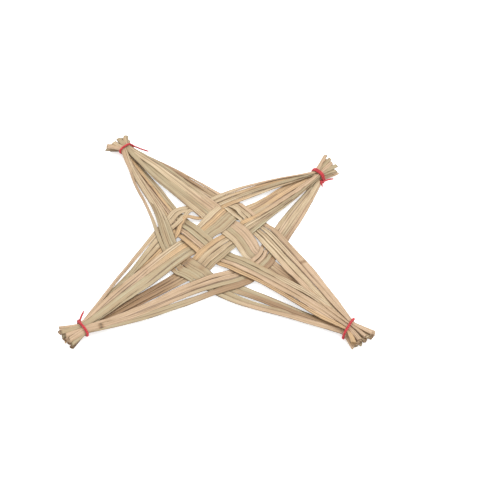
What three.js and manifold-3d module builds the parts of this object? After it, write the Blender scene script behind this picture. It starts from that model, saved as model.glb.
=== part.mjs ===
// Straw cross: flat straws woven four bands over four, gathered into four arms tied with thread.
// Sizes in millimetres. Rows run along X, columns along Y, +Z is up and the cross lies on z = 0.

import * as THREE from 'three';
import Module from 'manifold-3d';

const wasm = await Module();
wasm.setup();
const { Manifold, Mesh: SolidMesh } = wasm;

// Whole cross, from the cut ends of one arm to those of the arm opposite, in both directions
const crossSpan = 230;

// Straws
const strawsPerBand = 4;
const gap = 0.3;                 // free space between any two neighbouring pieces
const straightShare = 0.97;      // straw width over the pitch of its band in the weave
const weaveThickness = 0.8;      // straw pressed flat in the weave
const waistThickness = 1.2;      // straw squeezed narrower and thicker under the thread
const tipThickness = 1.4;        // straw opening again at its cut end
const edgeBevel = 0.4;           // width of the sloping edge on each side of a straw
const tipWidth = 2.7;

// Weave
const crossingLift = 1.4;        // band centre above or below the middle of the weave
const rampMargin = 0.15;         // a straw stays level this far past the band it crosses
const shortestRamp = 1.6;        // shortest climb between two crossings

// Bundles under the thread
const waistPitch = 1.0;          // sideways step from straw to straw
const waistHalfLength = 2.6;     // straight part held by the thread
const waistHeight = 4.2;         // height of the bundle's middle
const tipRowStep = 2.3;          // height from layer to layer at the cut ends
const tipSpread = 1.9;          // how much wider the cut ends stand than the bundle
const tipUnevenness = 1.9;       // how far a cut end may stop short of the mean reach, or pass it

// Thread
const threadRadius = 0.5;
const threadSides = 5;
const loopCornerRadius = 1.4;
const loopCornerSteps = 3;
const knotRadius = 1.05;

const strawColours = [0xcdb286, 0xc2ac80, 0xd6b896, 0xb9a878, 0xc8a070, 0xd2bc94];
const threadColour = 0xc02a38;

// Centre and width of every band where it crosses the four bands of the other direction.
// A slit opens the band after one straw, between two shares of the way out to the ties:
// shares below zero lie in the arm on the minus side.
const rows = [
  { centre: [-21.2, -28.0, -31.2, -25.6], width: [13.4, 12.6, 14.6, 15.6],
    slits: [{ after: 0, from: -0.81, to: -0.28, size: 1.8 },
      { after: 1, from: 0.25, to: 0.77, size: 2.6 }] },
  { centre: [-6.4, -10.3, -9.0, -4.6], width: [8.4, 15.8, 14.6, 13.8], slits: [] },
  { centre: [12.8, 12.5, 12.7, 10.8], width: [16.0, 14.0, 15.0, 10.0], slits: [] },
  { centre: [27.6, 28.2, 28.6, 25.6], width: [8.0, 12.6, 11.6, 14.4],
    slits: [{ after: 2, from: -0.67, to: -0.28, size: 0.9 }] },
];
const columns = [
  { centre: [-28.6, -32.5, -30.6, -23.7], width: [13.0, 12.8, 11.4, 13.6],
    slits: [{ after: 0, from: -0.84, to: -0.46, size: 1.3 }] },
  { centre: [-9.6, -12.5, -13.3, -8.2], width: [14.4, 13.8, 16.8, 8.6], slits: [] },
  { centre: [6.6, 4.6, 4.4, 4.1], width: [12.0, 15.2, 12.4, 11.6], slits: [] },
  { centre: [24.4, 27.0, 29.3, 23.4], width: [16.6, 15.6, 14.6, 13.6],
    slits: [{ after: 2, from: -0.8, to: -0.12, size: 2.4 }] },
];

// Ties: how far out along the arm and to the side of it, turn of the loop in degrees, how far
// the cut ends reach past the thread and where their middle lies, number of turns of thread,
// the edge that the knot sits at, and the thread tails as steps away from the knot.
const ties = {
  x_minus: { out: -0.47 * crossSpan, side: 10.0, turn: 2, reach: 7.8, tipSide: 10.4, loops: 1,
    knotSide: 1, tails: [[[1.6, 1.0, -0.6], [6.0, 2.2, -1.6], [11.6, 4.6, -2.6]]] },
  x_plus: { out: 0.428 * crossSpan, side: 9.6, turn: 15, reach: 11.2, tipSide: 9.6, loops: 1,
    knotSide: -1, tails: [] },
  y_minus: { out: -0.4565 * crossSpan, side: -3.4, turn: 5, reach: 10.1, tipSide: -4.4, loops: 1,
    knotSide: -1, tails: [[[-1.4, 1.6, -0.4], [-3.4, 4.2, -1.4], [-4.6, 7.2, -2.2]]] },
  y_plus: { out: 0.4115 * crossSpan, side: 1.6, turn: 3, reach: 15.8, tipSide: -0.4, loops: 2,
    knotSide: 1, tails: [[[1.0, 3.2, 0.4], [1.6, 6.0, 0.2], [3.0, 9.4, -0.8]],
      [[1.6, -1.4, -0.6], [3.8, -1.9, -1.8]]] },
};

const bandThickness = 2 * weaveThickness + gap;
const weaveMiddle = crossingLift + bandThickness / 2;
const waistLayerStep = waistThickness + gap;
const blockOffset = strawsPerBand * waistPitch / 2;
const bundleHalfWidth = blockOffset + (strawsPerBand / 2 - 0.5) * waistPitch + (2 * waistPitch - gap) / 2;
const bundleHalfHeight = 1.5 * waistLayerStep + waistThickness / 2;

function mix(from, to, share) {
  return from + (to - from) * share;
}

function clampShare(value) {
  return Math.min(Math.max(value, 0), 1);
}

// Smooth curve through values at rising places, straight outside them.
function curveThrough(places, values) {
  const last = places.length - 1;
  const slopes = places.map((place, n) => {
    const before = Math.max(n - 1, 0);
    const after = Math.min(n + 1, last);
    return (values[after] - values[before]) / (places[after] - places[before]);
  });
  return (at) => {
    if (at <= places[0]) return values[0];
    if (at >= places[last]) return values[last];
    let n = 0;
    while (at > places[n + 1]) n += 1;
    const span = places[n + 1] - places[n];
    const s = (at - places[n]) / span;
    const start = (1 + 2 * s) * (1 - s) ** 2 * values[n] + s * (1 - s) ** 2 * span * slopes[n];
    const end = s * s * (3 - 2 * s) * values[n + 1] + s * s * (s - 1) * span * slopes[n + 1];
    return start + end;
  };
}

// Straight steps between values at rising places.
function stepsThrough(places, values) {
  return (at) => {
    if (at <= places[0]) return values[0];
    for (let n = 1; n < places.length; n += 1) {
      if (at <= places[n]) {
        return mix(values[n - 1], values[n], (at - places[n - 1]) / (places[n] - places[n - 1]));
      }
    }
    return values[values.length - 1];
  };
}

// A band of one direction: its middle line, its pitch and how its slits push the straws apart.
function layBand(band, index, across, lowTie, highTie) {
  const block = index < 2 ? -blockOffset : blockOffset;
  const lowWaist = lowTie.out + waistHalfLength;
  const highWaist = highTie.out - waistHalfLength;
  const places = [lowWaist, ...across.map((other) => other.centre[index]), highWaist];
  const middle = curveThrough(places, [lowTie.side + block, ...band.centre, highTie.side + block]);
  const waistBand = strawsPerBand * waistPitch;
  const spread = curveThrough(places, [waistBand, ...band.width, waistBand]);
  const pitch = (at) => spread(at) / strawsPerBand;
  const fullWidth = straightShare * Math.min(...band.width) / strawsPerBand;
  const offset = (straw, at) => {
    let shift = 0;
    for (const slit of band.slits) {
      const [from, to] = [slit.from, slit.to].map((share) => (
        share < 0 ? -share * lowTie.out : share * highTie.out));
      const share = clampShare((at - from) / (to - from));
      const half = slit.size / 2 * Math.sin(Math.PI * share) ** 2;
      shift += straw > slit.after ? half : -half;
    }
    return (straw - (strawsPerBand - 1) / 2) * pitch(at) + shift;
  };
  const line = (straw, at) => middle(at) + offset(straw, at);
  const lean = (straw, at) => (line(straw, at + 0.5) - line(straw, at - 0.5));
  const strawWidth = (straw, at) => {
    const squarePitch = pitch(at) * Math.cos(Math.atan(lean(straw, at)));
    return Math.min(Math.max(fullWidth, straightShare * squarePitch), 2 * squarePitch - gap);
  };
  const edge = (side, at) => {
    const straw = side < 0 ? 0 : strawsPerBand - 1;
    return line(straw, at) + side * strawWidth(straw, at) / 2;
  };
  return { index, lowTie, highTie, line, lean, strawWidth, edge };
}

// Where one straw lies over or under the bands that it crosses, widened so that it clears them.
function crossingSpans(band, straw, others, isRow) {
  const spans = others.map((other) => {
    const reachOf = (side) => {
      let at = 0;
      for (let round = 0; round < 10; round += 1) {
        const here = band.line(straw, at);
        const half = band.strawWidth(straw, at) / 2;
        const edges = [here - half, here, here + half].map((place) => other.edge(side, place));
        at = side < 0 ? Math.min(...edges) : Math.max(...edges);
      }
      return at + side * rampMargin;
    };
    const rowIsOver = (band.index + other.index) % 2 === 0;
    return { from: reachOf(-1), to: reachOf(1), side: rowIsOver === isRow ? 1 : -1 };
  });
  for (let n = 1; n < spans.length; n += 1) {
    const short = shortestRamp - (spans[n].from - spans[n - 1].to);
    if (short > 0) {
      spans[n].from += short / 2;
      spans[n - 1].to -= short / 2;
    }
  }
  return spans;
}

// Closed body through a row of six-cornered sections.
function sectionsToGeometry(sections) {
  const corners = sections[0].length;
  const positions = sections.flat().flatMap((point) => [point.x, point.y, point.z]);
  const faces = [];
  for (let n = 0; n + 1 < sections.length; n += 1) {
    for (let k = 0; k < corners; k += 1) {
      const here = n * corners + k;
      const next = n * corners + (k + 1) % corners;
      faces.push(here, next, next + corners, here, next + corners, here + corners);
    }
  }
  const last = (sections.length - 1) * corners;
  for (let k = 1; k + 1 < corners; k += 1) {
    faces.push(0, k + 1, k);
    faces.push(last, last + k, last + k + 1);
  }
  const geometry = new THREE.BufferGeometry();
  geometry.setAttribute('position', new THREE.Float32BufferAttribute(positions, 3));
  geometry.setIndex(faces);
  return geometry;
}

function strawGeometry(band, straw, others, isRow) {
  const spans = crossingSpans(band, straw, others, isRow);
  const first = spans[0];
  const last = spans[spans.length - 1];
  const { lowTie, highTie } = band;
  const lowWaist = lowTie.out + waistHalfLength;
  const highWaist = highTie.out - waistHalfLength;
  const layer = straw % 2 === 0 ? 0.5 : -0.5;
  const levels = spans.flatMap((span) => [span.side, span.side]);
  const side = stepsThrough(spans.flatMap((span) => [span.from, span.to]), levels);
  const number = band.index * strawsPerBand + straw;

  const section = (at, width, thickness, sideways, height, slope) => {
    const turn = Math.atan(slope);
    const halfFlat = width / 2 - edgeBevel;
    const outline = [[width / 2, 0], [halfFlat, thickness / 2], [-halfFlat, thickness / 2],
      [-width / 2, 0], [-halfFlat, -thickness / 2], [halfFlat, -thickness / 2]];
    return outline.map(([across, up]) => {
      const along = at - across * Math.sin(turn);
      const beside = sideways + across * Math.cos(turn);
      if (isRow) return new THREE.Vector3(along, beside, height + up);
      return new THREE.Vector3(beside, along, height + up);
    });
  };

  const armSection = (at) => {
    const share = at < first.from
      ? clampShare((first.from - at) / (first.from - lowWaist))
      : clampShare((at - last.to) / (highWaist - last.to));
    const thickness = mix(weaveThickness, waistThickness, share);
    const bandLift = mix(crossingLift, waistLayerStep, share) * side(at);
    const strawLift = mix(weaveThickness + gap, waistLayerStep, share) * layer;
    const height = mix(weaveMiddle, waistHeight, share) + bandLift + strawLift;
    const isWaist = share === 1;
    const slope = isWaist ? 0 : band.lean(straw, at);
    return section(at, band.strawWidth(straw, at), thickness, band.line(straw, at), height, slope);
  };

  const endSections = (tie, direction, over) => {
    const waistWidth = 2 * waistPitch - gap;
    const waistAt = tie.out + direction * waistHalfLength;
    const sideways = band.line(straw, waistAt);
    const lift = (over + layer) * waistLayerStep;
    const waist = section(waistAt, waistWidth, waistThickness, sideways, waistHeight + lift, 0);
    const uneven = tipUnevenness * Math.sin(2.4 * number + (isRow ? 0.7 : 2.1) + direction);
    const tipAt = waistAt + direction * (tie.reach - waistHalfLength + uneven);
    const tipSideways = tie.tipSide + tipSpread * (sideways - tie.side);
    const slope = (tipSideways - sideways) / (tipAt - waistAt);
    const tipHeight = waistHeight + (over + layer) * tipRowStep;
    const tip = section(tipAt, tipWidth, tipThickness, tipSideways, tipHeight, slope);
    return [waist, tip];
  };

  const armPlaces = (from, to) => [0.25, 0.5, 0.75].map((share) => mix(from, to, share));
  const places = [lowWaist, ...armPlaces(lowWaist, first.from),
    ...spans.flatMap((span) => [span.from, span.to]), ...armPlaces(last.to, highWaist), highWaist];
  const [lowEnd, lowTip] = endSections(lowTie, -1, first.side);
  const [highEnd, highTip] = endSections(highTie, 1, last.side);
  const sections = [lowTip, lowEnd, ...places.map(armSection), highEnd, highTip];
  const geometry = sectionsToGeometry(isRow ? sections : sections.reverse());
  return geometry.toNonIndexed();
}

// Thread of round section along a list of points, closed into a loop or with flat ends.
function threadSolid(points, isLoop) {
  const sections = points.map((point, n) => {
    const before = points[isLoop ? (n - 1 + points.length) % points.length : Math.max(n - 1, 0)];
    const after = points[isLoop ? (n + 1) % points.length : Math.min(n + 1, points.length - 1)];
    const along = after.clone().sub(before).normalize();
    const helper = Math.abs(along.z) < 0.9 && !isLoop
      ? new THREE.Vector3(0, 0, 1) : points.axis;
    const beside = new THREE.Vector3().crossVectors(along, helper).normalize();
    const up = new THREE.Vector3().crossVectors(beside, along).normalize();
    return Array.from({ length: threadSides }, (_, k) => {
      const angle = 2 * Math.PI * k / threadSides;
      return point.clone().addScaledVector(beside, threadRadius * Math.cos(angle))
        .addScaledVector(up, threadRadius * Math.sin(angle));
    });
  });
  const vertices = new Float32Array(sections.flat().flatMap((point) => [point.x, point.y, point.z]));
  const faces = [];
  const turns = isLoop ? sections.length : sections.length - 1;
  for (let n = 0; n < turns; n += 1) {
    for (let k = 0; k < threadSides; k += 1) {
      const here = n * threadSides + k;
      const next = n * threadSides + (k + 1) % threadSides;
      const ahead = ((n + 1) % sections.length) * threadSides;
      faces.push(here, ahead + k, next, next, ahead + k, ahead + (k + 1) % threadSides);
    }
  }
  if (!isLoop) {
    const last = (sections.length - 1) * threadSides;
    for (let k = 1; k + 1 < threadSides; k += 1) {
      faces.push(0, k, k + 1, last, last + k + 1, last + k);
    }
  }
  const mesh = new SolidMesh({ numProp: 3, vertProperties: vertices, triVerts: new Uint32Array(faces) });
  const solid = new Manifold(mesh);
  if (solid.volume() > 0) return solid;
  for (let n = 0; n < faces.length; n += 3) {
    [faces[n + 1], faces[n + 2]] = [faces[n + 2], faces[n + 1]];
  }
  return new Manifold(new SolidMesh({
    numProp: 3, vertProperties: vertices, triVerts: new Uint32Array(faces),
  }));
}

function tieGeometry(tie, isRow) {
  const halfWidth = bundleHalfWidth + gap + threadRadius;
  const halfHeight = bundleHalfHeight + gap + threadRadius;
  const place = (along, beside, up) => {
    const turn = THREE.MathUtils.degToRad(tie.turn);
    const turnedAlong = along * Math.cos(turn) - beside * Math.sin(turn);
    const turnedBeside = along * Math.sin(turn) + beside * Math.cos(turn);
    const x = tie.out + turnedAlong;
    const y = tie.side + turnedBeside;
    return isRow ? new THREE.Vector3(x, y, waistHeight + up)
      : new THREE.Vector3(y, x, waistHeight + up);
  };
  const loops = [];
  for (let loop = 0; loop < tie.loops; loop += 1) {
    const along = (loop - (tie.loops - 1) / 2) * 2 * threadRadius * 0.9;
    const points = [];
    for (const [cornerSide, cornerUp, start] of [[1, 1, 0], [-1, 1, 90], [-1, -1, 180], [1, -1, 270]]) {
      for (let step = 0; step <= loopCornerSteps; step += 1) {
        const angle = THREE.MathUtils.degToRad(start + 90 * step / loopCornerSteps);
        const beside = cornerSide * (halfWidth - loopCornerRadius) + loopCornerRadius * Math.cos(angle);
        const up = cornerUp * (halfHeight - loopCornerRadius) + loopCornerRadius * Math.sin(angle);
        points.push(place(along, beside, up));
      }
    }
    points.axis = place(1, 0, 0).sub(place(0, 0, 0));
    loops.push(threadSolid(points, true));
  }
  const knotAt = place(0, tie.knotSide * (halfWidth + threadRadius), 0);
  const knot = Manifold.sphere(knotRadius, 8).translate([knotAt.x, knotAt.y, knotAt.z]);
  const tails = tie.tails.map((steps) => {
    const path = [knotAt, ...steps.map(([x, y, z]) => knotAt.clone().add(new THREE.Vector3(x, y, z)))];
    return threadSolid(path, false);
  });
  const solid = Manifold.union([...loops, knot, ...tails]);
  const mesh = solid.getMesh();
  const geometry = new THREE.BufferGeometry();
  geometry.setAttribute('position', new THREE.Float32BufferAttribute(mesh.vertProperties, 3));
  geometry.setIndex(Array.from(mesh.triVerts));
  return geometry.toNonIndexed();
}

function addPiece(group, name, geometry, colour, roughness) {
  geometry.computeVertexNormals();
  const material = new THREE.MeshStandardMaterial({ color: colour, roughness, metalness: 0 });
  const mesh = new THREE.Mesh(geometry, material);
  mesh.name = name;
  group.add(mesh);
}

const strawCross = new THREE.Group();
strawCross.name = 'straw_cross';

const rowBands = rows.map((band, n) => layBand(band, n, columns, ties.x_minus, ties.x_plus));
const columnBands = columns.map((band, n) => layBand(band, n, rows, ties.y_minus, ties.y_plus));

for (const [bands, others, isRow] of [[rowBands, columnBands, true], [columnBands, rowBands, false]]) {
  for (const band of bands) {
    for (let straw = 0; straw < strawsPerBand; straw += 1) {
      const name = `${isRow ? 'row' : 'column'}${band.index + 1}_straw${straw + 1}`;
      const colour = strawColours[(band.index * 3 + straw * 5 + (isRow ? 0 : 2)) % strawColours.length];
      addPiece(strawCross, name, strawGeometry(band, straw, others, isRow), colour, 0.7);
    }
  }
}

for (const [name, tie] of Object.entries(ties)) {
  addPiece(strawCross, `tie_${name}`, tieGeometry(tie, name.startsWith('x')), threadColour, 0.85);
}

// The origin sits under the middle of the cross, on the surface that it lies on.
const bounds = new THREE.Box3().setFromObject(strawCross);
const middle = bounds.getCenter(new THREE.Vector3());
for (const piece of strawCross.children) {
  piece.geometry.translate(-middle.x, -middle.y, -bounds.min.z);
}

export default strawCross;
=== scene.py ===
# %% [markdown]
# # A woven straw cross
#
# Thirty-two flat straws are woven four bands over four. Sixteen run along X and
# sixteen along Y, and each arm is gathered under a red thread and ends in a short
# brush of cut stems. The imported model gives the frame: every straw drawn here
# takes the place of one solid, on the same path.

# %% Load the frame
import math

import bpy
import numpy as np
from mathutils import Matrix, Vector


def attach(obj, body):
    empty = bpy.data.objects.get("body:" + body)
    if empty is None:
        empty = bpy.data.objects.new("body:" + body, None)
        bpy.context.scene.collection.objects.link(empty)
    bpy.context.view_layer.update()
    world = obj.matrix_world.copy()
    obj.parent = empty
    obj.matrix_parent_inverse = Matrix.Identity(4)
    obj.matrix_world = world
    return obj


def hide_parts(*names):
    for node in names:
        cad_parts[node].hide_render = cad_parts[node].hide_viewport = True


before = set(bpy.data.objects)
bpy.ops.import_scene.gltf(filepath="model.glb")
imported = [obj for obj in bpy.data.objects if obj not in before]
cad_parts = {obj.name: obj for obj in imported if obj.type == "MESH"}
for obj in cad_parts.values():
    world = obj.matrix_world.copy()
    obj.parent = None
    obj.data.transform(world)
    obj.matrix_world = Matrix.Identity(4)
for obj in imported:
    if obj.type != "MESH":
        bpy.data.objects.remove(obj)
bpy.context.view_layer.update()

MM = 0.001

# %% [markdown]
# ## The camera
#
# The picture was taken from the front, about 49 degrees above the table, with the
# lens turned a little. The weave frame is turned by 45 degrees against the picture,
# because the straws run along X and Y here. Three numbers place the camera: yaw,
# elevation and roll. A matrix of its right, up and back directions sets it exactly,
# which a "look at" constraint could not do with a roll.

# %% Camera
FOCAL_PX, IMAGE_PX, SENSOR = 700.0, 500.0, 36.0
SHIFT_PX = 30.55, -4.07
YAW, ELEVATION, ROLL = math.radians(-2.05 + 45.0), math.radians(48.75), math.radians(4.25)
CAMERA_DISTANCE, NEAREST = 0.45089, 0.01
WEAVE_AT = Vector((3.14, 2.35, -1.0)) * MM


def new_object(name, data):
    """Object that shows some data, linked to the scene."""
    new = bpy.data.objects.new(name, data)
    bpy.context.scene.collection.objects.link(new)
    return new


def camera_axes(yaw, elevation, roll):
    """Right, up and back of the camera: back points from the table to the lens at the
    given yaw from -Y and elevation, and roll turns right and up about it."""
    back = Vector((math.sin(yaw) * math.cos(elevation), -math.cos(yaw) * math.cos(elevation),
                   math.sin(elevation)))
    right = Vector((math.cos(yaw), math.sin(yaw), 0.0))
    up = back.cross(right)
    return (right * math.cos(roll) + up * math.sin(roll),
            up * math.cos(roll) - right * math.sin(roll), back)


right, up, back = camera_axes(YAW, ELEVATION, ROLL)
lens = bpy.data.cameras.new("camera")
lens.sensor_width = SENSOR
lens.lens = SENSOR * FOCAL_PX / IMAGE_PX
lens.shift_x, lens.shift_y = (shift / IMAGE_PX for shift in SHIFT_PX)
lens.clip_start = NEAREST
camera = new_object("camera", lens)
camera.matrix_world = Matrix.Translation(WEAVE_AT + back * CAMERA_DISTANCE) @ Matrix(
    (right, up, back)).transposed().to_4x4()
bpy.context.scene.camera = camera
print("camera at", [round(v, 3) for v in camera.matrix_world.translation])

# %% [markdown]
# ## Sizes
#
# Lengths in millimetres. The straws follow the paths of the solids, with fuller cut
# ends. Each band is given by its two edges at a few places, as the picture shows
# them, and at the ties. A slit opens a band beside one of its straws.

# %% Named sizes of the weave
CROSS_SPAN = 230.0
PER_BAND = 4
STRAW, WAIST_STRAW, TIP_STRAW = 0.5, 0.6, 1.9
STRAW_WIDTH, WAIST_WIDTH, TIP_WIDTH = 3.6, 3.5, 3.4
LAP, LEAST_PITCH, ARM_FROM = 1.13, 0.4, 60.0
CROSSING_LIFT, WEAVE_MIDDLE = 0.55, 2.35
CROSSING_ROOM, SHORTEST_CLIMB, CLIMB_LEAD = 0.15, 1.6, 0.4
WAIST_HALF, WAIST_HEIGHT = 0.8, 4.2
WAIST_STEP, TIP_STEP = 1.35, 1.95
WAIST_LAYER, TIP_LAYER = 0.35, 0.5
BUNDLE_CONVEX = 0.32
READ_HEIGHT = 4.3
SIGHT = back.x / back.z, back.y / back.z

# Each band has ties: its low and high edge at the minus and the plus tie; slits: (after
# straw, from, to, size), with from and to as shares of the arm; and edges: (place along
# it, low edge, high edge), where the camera sees them against a plane at READ_HEIGHT.
# A tie has its place (out and side), half the width of its bundle, its turn in degrees,
# how far the cut ends reach past it, how much their line slants, their low and high
# edge, how uneven they are, the number of loops, the step to its knot (along, aside
# and up) and the steps of its tails from the knot (in X, in Y and up).
ROWS = [
    dict(ties=[(5.6, 10.2), (3.9, 8.8)], edges=[
        (-75, -9.3, -2.5), (-40, -23.5, -11.5), (-30, -28.5, -15.5), (-17, -34, -21.5),
        (0, -39.5, -24), (10, -38, -22.5), (22, -34.5, -20.5), (37, -30, -14.5),
        (70, -11.8, -2.8)], slits=[(0, -0.95, -0.14, 3.9), (1, 0.25, 0.77, 2.6)]),
    dict(ties=[(7, 11.6), (5.4, 11.4)], edges=[
        (-75, -3.8, 5.3), (-40, -12, -1), (-25, -18.3, -2.2), (-4, -18.6, -2.2),
        (13, -15.3, -0.8), (25, -11.7, 3), (36, -8, 5.7), (75, 0, 12.6)]),
    dict(ties=[(8.8, 13.8), (7.6, 13)], edges=[
        (-75, 5.6, 20), (-40, 4.5, 21), (-24, 4.3, 21.4), (-4, 5.1, 20.4), (5, 4.9, 20.2),
        (15, 2.5, 18), (22, 1.3, 15.6), (37, 4.5, 14.2), (80, 6.5, 15.4)]),
    dict(ties=[(10.2, 14.4), (9.6, 15)], slits=[(2, -0.67, -0.28, 0.9)], edges=[
        (-75, 17, 23.6), (-45, 18.8, 29), (-32, 19.5, 31), (-17, 21.6, 34.6),
        (-3, 21.6, 34.4), (10, 20, 34.5), (22, 17.2, 34), (30, 16, 32.4), (40, 14, 30.5),
        (75, 10, 21.8)]),
]
COLUMNS = [
    dict(ties=[(-7.2, -3), (-2.8, 1.6)], slits=[(0, -0.9, -0.26, 3)], edges=[
        (-70, -19.8, -12), (-35, -31.5, -16.8), (-28, -34, -18.2), (-13, -38, -24.2),
        (-5, -39.3, -26), (4, -38.2, -24), (21, -32.2, -18.4), (30, -30.6, -16.4),
        (40, -28, -14), (70, -16.2, -6.3)]),
    dict(ties=[(-6.4, -1.4), (-1.8, 3)], edges=[
        (-75, -12, -1.5), (-45, -15.3, -1.6), (-35, -16.2, -2.2), (-19, -17, -2.4),
        (-8, -18.5, -3.6), (0, -20, -5), (5, -21, -4), (15, -23.2, -4.7),
        (21, -24, -5.5), (35, -11.4, 0.8), (75, -6.4, 1.6)]),
    dict(ties=[(-5, 0.4), (0, 4.8)], edges=[
        (-75, -3, 5.5), (-40, 0, 10.5), (-22, -1.5, 13.5), (-15, -3, 13), (-5, -3.5, 12.2),
        (3, -3.5, 11), (22, -3, 10), (35, -1, 9), (65, 0, 7.4)]),
    dict(ties=[(-3.4, 1), (1.4, 6)], slits=[(2, -0.8, -0.12, 2.4)], edges=[
        (-70, 6.2, 16.9), (-45, 11, 25.8), (-35, 13.4, 29), (-25, 16, 32.8),
        (-15, 20, 36.6), (-8, 21.5, 37.6), (5, 24.5, 37.2), (12, 23, 36.4), (17, 20, 34.4),
        (35, 15.4, 28.8), (45, 12.6, 25.6), (75, 6.4, 14.9)]),
]
TIES = {
    "x_minus": dict(out=-0.467 * CROSS_SPAN, side=10.1, half=4.3, turn=2, reach=9.3, slant=0,
                    tips=(-1.6, 20.2), uneven=0.9, loops=1, knot=(0.2, 5.3, 0.2),
                    tails=[[(1.6, 1.6, -0.6), (5.6, 4, -1.6), (10.4, 7, -2.4)]]),
    "x_plus": dict(out=0.428 * CROSS_SPAN, side=9.4, half=5.6, turn=15, reach=11.6, slant=3,
                   tips=(-0.5, 18.6), uneven=0.4, loops=1, knot=(0.2, -4.4, -2.2), tails=[]),
    "y_minus": dict(out=-0.4565 * CROSS_SPAN, side=-3.2, half=4.1, turn=5, reach=11.2, slant=0,
                    tips=(-12, 2.6), uneven=0.35, loops=1, knot=(0.6, -5.1, 0),
                    tails=[[(-1.4, 1.6, -0.4), (-3.4, 4, -1), (-5.6, 7.2, -1.6)]]),
    "y_plus": dict(out=0.412 * CROSS_SPAN, side=1.6, half=4.4, turn=3, reach=14.8, slant=-4,
                   tips=(-8.6, 9), uneven=1.2, loops=2, knot=(-2.6, 5.4, -1.4),
                   tails=[[(1, 2.6, 0.6), (1.8, 5.6, 0.6), (3.6, 9, 0.4)],
                          [(1.4, -1, -0.4), (2.9, -1.6, -1)]]),
}
print("bands:", len(ROWS) + len(COLUMNS), "straws:", PER_BAND * (len(ROWS) + len(COLUMNS)))

# %% [markdown]
# ## A band of straws as functions
#
# A band could be drawn by hand as curves, but the straws have to stay clear of each
# other and keep their order. So each band is a function of the place along it: a
# smooth middle line through the crossings, a pitch that narrows to the tie, and a
# step from straw to straw.

# %% Smooth lines and bands


def mix(low, high, share):
    """low + (high - low) * share."""
    return low + (high - low) * share


def smooth_step(share):
    """3 s^2 - 2 s^3 of the share held between 0 and 1."""
    s = np.clip(share, 0.0, 1.0)
    return s * s * (3.0 - 2.0 * s)


def curve_through(places, values):
    """Cubic Hermite curve through values at rising places, level outside the ends. The
    slope at a place is that of the parabola through it and its neighbours, held to
    three times the smaller chord so that the curve doesn't overshoot."""
    places, values = np.asarray(places, float), np.asarray(values, float)
    span, chord = np.diff(places), np.diff(values) / np.diff(places)
    slopes = np.concatenate([chord[:1], (chord[:-1] * span[1:] + chord[1:] * span[:-1])
                             / (span[:-1] + span[1:]), chord[-1:]])
    limit = 3 * np.minimum(np.abs(chord[:-1]), np.abs(chord[1:])) * (chord[:-1] * chord[1:] > 0)
    slopes[1:-1] = np.clip(slopes[1:-1], -limit, limit)

    def curve(at):
        at = np.clip(at, places[0], places[-1])
        n = np.clip(np.searchsorted(places, at) - 1, 0, len(places) - 2)
        s = (at - places[n]) / span[n]
        return ((1 + 2 * s) * (1 - s) ** 2 * values[n] + s * (1 - s) ** 2 * span[n] * slopes[n]
                + s * s * (3 - 2 * s) * values[n + 1] + s * s * (s - 1) * span[n] * slopes[n + 1])

    return curve


def slow_wave(rng, length):
    """Sum of three sines of falling height, with random phases: it wanders between
    about -1 and 1 over the given length."""
    phases, turns = rng.uniform(0, 2 * np.pi, 3), rng.uniform(0.8, 1.25, 3) * [1.0, 2.1, 3.7]
    heights = np.array([0.6, 0.3, 0.15])
    return lambda at: (heights * np.sin(np.multiply.outer(at, turns) * 2 * np.pi / length
                                        + phases)).sum(-1)


class Band:
    """Four straws side by side between two ties. line() gives a straw's sideways place:
    the middle line plus (straw - 1.5) pitches, plus or minus half of each open slit."""

    def __init__(self, table, index, low, high):
        self.index, self.low, self.high, self.slits = index, low, high, table.get("slits", [])
        self.waists = low["out"] + WAIST_HALF, high["out"] - WAIST_HALF
        places, low_edge, high_edge = np.array(
            [(low["out"], *table["ties"][0]), *table["edges"], (high["out"], *table["ties"][1])]).T
        self.middle = curve_through(places, (low_edge + high_edge) / 2)
        self.spread = curve_through(places, high_edge - low_edge)
        self.narrow = curve_through([places[0], -ARM_FROM, ARM_FROM, places[-1]],
                                    [WAIST_WIDTH, STRAW_WIDTH, STRAW_WIDTH, WAIST_WIDTH])

    def openings(self, at):
        """(after straw, size here) of each slit: size * sin^2 between its two places."""
        for after, start, end, size in self.slits:
            start, end = (-s * self.low["out"] if s < 0 else s * self.high["out"]
                          for s in (start, end))
            yield after, size * np.sin(np.pi * np.clip((at - start) / (end - start), 0.0, 1.0)) ** 2

    def pitch(self, at):
        """Straws keep their width: a band narrower than four laps crowds them, and a
        slit takes its room from the laps."""
        room = self.spread(at) - sum(size for _, size in self.openings(at))
        crowded = (room - self.narrow(at)) / (PER_BAND - 1)
        return np.maximum(np.minimum(room / (PER_BAND - 1 + LAP), crowded), LEAST_PITCH)

    def line(self, straw, at):
        """Sideways place of the middle of a straw, as the class says."""
        shift = sum((0.5 if straw > after else -0.5) * size for after, size in self.openings(at))
        return self.middle(at) + (straw - (PER_BAND - 1) / 2) * self.pitch(at) + shift

    def width(self, straw, at):
        """LAP pitches, or at least one straw, times the cosine of the straw's lean."""
        lean = np.arctan(self.line(straw, at + 0.5) - self.line(straw, at - 0.5))
        return np.maximum(LAP * self.pitch(at), self.narrow(at)) * np.cos(lean)

    def edge(self, side, at):
        """Outer edge of the first straw (side -1) or of the last (side 1)."""
        straw = 0 if side < 0 else PER_BAND - 1
        return self.line(straw, at) + side * self.width(straw, at) / 2


rows = [Band(table, n, TIES["x_minus"], TIES["x_plus"]) for n, table in enumerate(ROWS)]
columns = [Band(table, n, TIES["y_minus"], TIES["y_plus"]) for n, table in enumerate(COLUMNS)]
print("row 1 is", round(float(rows[0].spread(0.0)), 1), "mm wide in the middle")

# %% [markdown]
# ## Over and under
#
# A row lies over a column where their numbers add up to an even sum. Between two
# crossings the straw climbs or dips. The place where it must be clear is found from
# the outer edges of the band that it crosses, which lean, so the search is repeated
# until it settles.

# %% Where each straw lies over or under


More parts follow.
